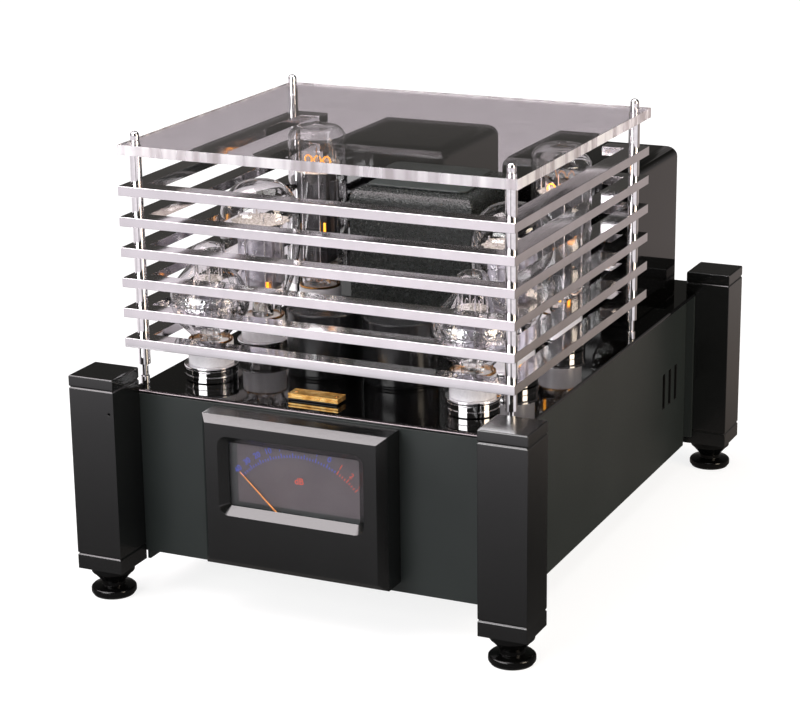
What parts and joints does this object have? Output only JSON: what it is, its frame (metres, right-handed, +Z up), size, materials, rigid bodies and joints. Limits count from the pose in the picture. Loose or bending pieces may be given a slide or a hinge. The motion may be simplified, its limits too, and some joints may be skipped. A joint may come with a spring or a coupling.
{
  "type": "tube power amplifier",
  "caption": "Tube power amplifier: a chassis on corner pillars with a level meter, tubes, capacitor cans and transformers on its deck, under a barred cage with a clear roof.",
  "frame": {"origin": "on the ground under the middle of the amplifier", "axes": "+Z up, front panel towards -Y, +X to the right when looking at the front"},
  "size_m": [0.446, 0.603, 0.4298],
  "materials": {
    "deck": "gloss",
    "panel": "satin",
    "pillar": "satin black anodised",
    "foot": "matte",
    "bezel": "satin",
    "meter_glass": "clear",
    "dial": "printed",
    "needle": "painted",
    "brass_plate": "polished",
    "rail": "polished",
    "post": "polished",
    "roof": "clear acrylic",
    "socket": "polished",
    "tube_glass": "clear",
    "tube_base": "glazed ceramic",
    "can": "sleeved",
    "crinkle": "crinkle paint",
    "gloss_cover": "gloss",
    "fitting": "moulded"
  },
  "bodies": {
    "chassis": {"deck_plate": "deck", "front_panel": "panel", "rear_panel": "panel", "side_panel_left": "panel", "side_panel_right": "panel", "bottom_plate": "panel", "pillar_front_left": "pillar", "pillar_front_right": "pillar", "pillar_rear_left": "pillar", "pillar_rear_right": "pillar", "meter_bezel": "bezel", "meter_glass": "meter_glass", "meter_dial": "dial", "brass_plate": "brass_plate", "socket_front_left": "socket", "socket_front_right": "socket", "socket_middle_left": "socket", "socket_middle_right": "socket", "socket_rear_left": "socket", "socket_rear_right": "socket", "capacitor_left": "can", "capacitor_right": "can", "power_transformer": "crinkle", "power_transformer_lid": "gloss_cover", "output_transformer_left": "gloss_cover", "output_transformer_right": "gloss_cover", "mains_inlet": "fitting", "switch_frame": "fitting", "input_jacks": "fitting", "speaker_sockets_left": "fitting", "speaker_sockets_right": "fitting"},
    "needle": {"meter_needle": "needle"},
    "rocker": {"switch_rocker": "fitting"},
    "foot_front_left": {"foot_front_left": "foot"},
    "foot_front_right": {"foot_front_right": "foot"},
    "foot_rear_left": {"foot_rear_left": "foot"},
    "foot_rear_right": {"foot_rear_right": "foot"},
    "cage": {"cage_rail_1": "rail", "cage_rail_2": "rail", "cage_rail_3": "rail", "cage_rail_4": "rail", "cage_rail_5": "rail", "cage_rail_6": "rail", "cage_post_front_left": "post", "cage_post_front_right": "post", "cage_post_rear_left": "post", "cage_post_rear_right": "post"},
    "roof": {"roof_plate": "roof"},
    "tube_front_left": {"tube_front_left_glass": "tube_glass", "tube_front_left_base": "tube_base"},
    "tube_front_right": {"tube_front_right_glass": "tube_glass", "tube_front_right_base": "tube_base"},
    "tube_middle_left": {"tube_middle_left_glass": "tube_glass", "tube_middle_left_base": "tube_base"},
    "tube_middle_right": {"tube_middle_right_glass": "tube_glass", "tube_middle_right_base": "tube_base"},
    "tube_rear_left": {"tube_rear_left_glass": "tube_glass", "tube_rear_left_base": "tube_base"},
    "tube_rear_right": {"tube_rear_right_glass": "tube_glass", "tube_rear_right_base": "tube_base"}
  },
  "joints": [
    {"name": "needle_swing", "type": "hinge", "parent": "chassis", "child": "needle", "pos_m": [-0.0038, -0.2766, 0.083], "axis": [0, 1, 0], "range_deg": [0, 94]},
    {"name": "rocker_tilt", "type": "hinge", "parent": "chassis", "child": "rocker", "pos_m": [0.062, 0.2557, 0.097], "axis": [-1, 0, 0], "range_deg": [0, 16]},
    {"name": "foot_front_left_turn", "type": "hinge", "parent": "chassis", "child": "foot_front_left", "pos_m": [-0.2, -0.2785, 0.0143], "axis": [0, 0, 1], "continuous": true},
    {"name": "foot_front_right_turn", "type": "hinge", "parent": "chassis", "child": "foot_front_right", "pos_m": [0.2, -0.2785, 0.0143], "axis": [0, 0, 1], "continuous": true},
    {"name": "foot_rear_left_turn", "type": "hinge", "parent": "chassis", "child": "foot_rear_left", "pos_m": [-0.2, 0.2785, 0.0143], "axis": [0, 0, 1], "continuous": true},
    {"name": "foot_rear_right_turn", "type": "hinge", "parent": "chassis", "child": "foot_rear_right", "pos_m": [0.2, 0.2785, 0.0143], "axis": [0, 0, 1], "continuous": true},
    {"name": "cage_lift", "type": "slide", "parent": "chassis", "child": "cage", "axis": [0, 0, 1], "range_m": [0, 0.21]},
    {"name": "roof_lift", "type": "slide", "parent": "cage", "child": "roof", "axis": [0, 0, 1], "range_m": [0, 0.03]},
    {"name": "tube_front_left_pull", "type": "slide", "parent": "chassis", "child": "tube_front_left", "axis": [0, 0, 1], "range_m": [0, 0.014]},
    {"name": "tube_front_right_pull", "type": "slide", "parent": "chassis", "child": "tube_front_right", "axis": [0, 0, 1], "range_m": [0, 0.014]},
    {"name": "tube_middle_left_pull", "type": "slide", "parent": "chassis", "child": "tube_middle_left", "axis": [0, 0, 1], "range_m": [0, 0.014]},
    {"name": "tube_middle_right_pull", "type": "slide", "parent": "chassis", "child": "tube_middle_right", "axis": [0, 0, 1], "range_m": [0, 0.014]},
    {"name": "tube_rear_left_pull", "type": "slide", "parent": "chassis", "child": "tube_rear_left", "axis": [0, 0, 1], "range_m": [0, 0.014]},
    {"name": "tube_rear_right_pull", "type": "slide", "parent": "chassis", "child": "tube_rear_right", "axis": [0, 0, 1], "range_m": [0, 0.014]}
  ]
}
